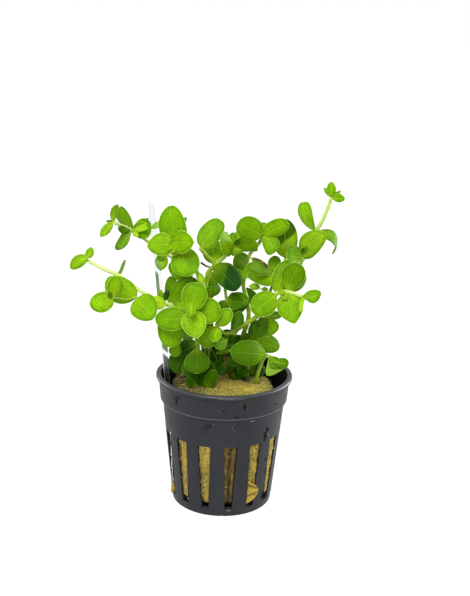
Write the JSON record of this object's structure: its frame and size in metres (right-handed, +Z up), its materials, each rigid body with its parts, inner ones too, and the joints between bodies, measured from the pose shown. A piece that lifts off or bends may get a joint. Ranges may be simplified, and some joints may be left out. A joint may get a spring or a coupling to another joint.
{
  "type": "potted aquarium plant",
  "caption": "Leafy stem plant rooted in a mineral-wool plug inside a small slotted net pot, with a clear blank label strip standing in the pot.",
  "frame": {"origin": "centre of the pot's flat underside", "axes": "+Z up along the pot's axis, +Y away from the side seen in the picture, +X to the right in the picture"},
  "size_m": [0.0998, 0.0518, 0.1253],
  "materials": {
    "pot_plastic": "moulded charcoal-black plastic with a soft sheen, wet in places",
    "rockwool_fibre": "damp golden-olive mineral wool with loose fibres and dark brown specks",
    "clear_plastic": "thin clear plastic film, blank",
    "stem_skin": "smooth fresh green stem, pale yellow-green toward its tips",
    "leaf_skin": "smooth fleshy green leaf with a waxy sheen and faint veins"
  },
  "bodies": {
    "root": {"centre_leaf_1": "leaf_skin", "centre_leaf_2": "leaf_skin", "centre_leaf_3": "leaf_skin", "centre_right_leaf_1": "leaf_skin", "centre_right_stem": "stem_skin", "centre_stem": "stem_skin", "front_left_leaf_1": "leaf_skin", "front_left_leaf_2": "leaf_skin", "front_left_leaf_3": "leaf_skin", "front_left_leaf_4": "leaf_skin", "front_left_leaf_5": "leaf_skin", "front_left_stem": "stem_skin", "inner_stem": "stem_skin", "label_strip": "clear_plastic", "left_leaf_1": "leaf_skin", "left_leaf_2": "leaf_skin", "left_leaf_3": "leaf_skin", "left_lower_leaf_1": "leaf_skin", "left_lower_leaf_2": "leaf_skin", "left_lower_stem": "stem_skin", "left_stem": "stem_skin", "low_middle_leaf_1": "leaf_skin", "low_middle_stem": "stem_skin", "pot": "pot_plastic", "right_back_leaf_1": "leaf_skin", "right_back_stem": "stem_skin", "right_leaf_1": "leaf_skin", "right_leaf_2": "leaf_skin", "right_leaf_3": "leaf_skin", "right_low_back_stem": "stem_skin", "right_low_leaf_1": "leaf_skin", "right_low_leaf_2": "leaf_skin", "right_low_stem": "stem_skin", "right_mid_leaf_1": "leaf_skin", "right_mid_stem": "stem_skin", "right_stem": "stem_skin", "right_top_leaf_1": "leaf_skin", "right_top_leaf_2": "leaf_skin", "right_top_leaf_3": "leaf_skin", "right_top_leaf_4": "leaf_skin", "right_top_stem": "stem_skin", "rockwool": "rockwool_fibre", "top_leaf_1": "leaf_skin", "top_left_leaf_1": "leaf_skin", "top_left_leaf_2": "leaf_skin", "top_left_leaf_3": "leaf_skin", "top_left_leaf_4": "leaf_skin", "top_left_leaf_5": "leaf_skin", "top_left_stem": "stem_skin", "top_stem": "stem_skin", "upper_left_leaf_1": "leaf_skin", "upper_left_leaf_2": "leaf_skin", "upper_left_leaf_3": "leaf_skin", "upper_left_stem": "stem_skin"}
  },
  "joints": []
}
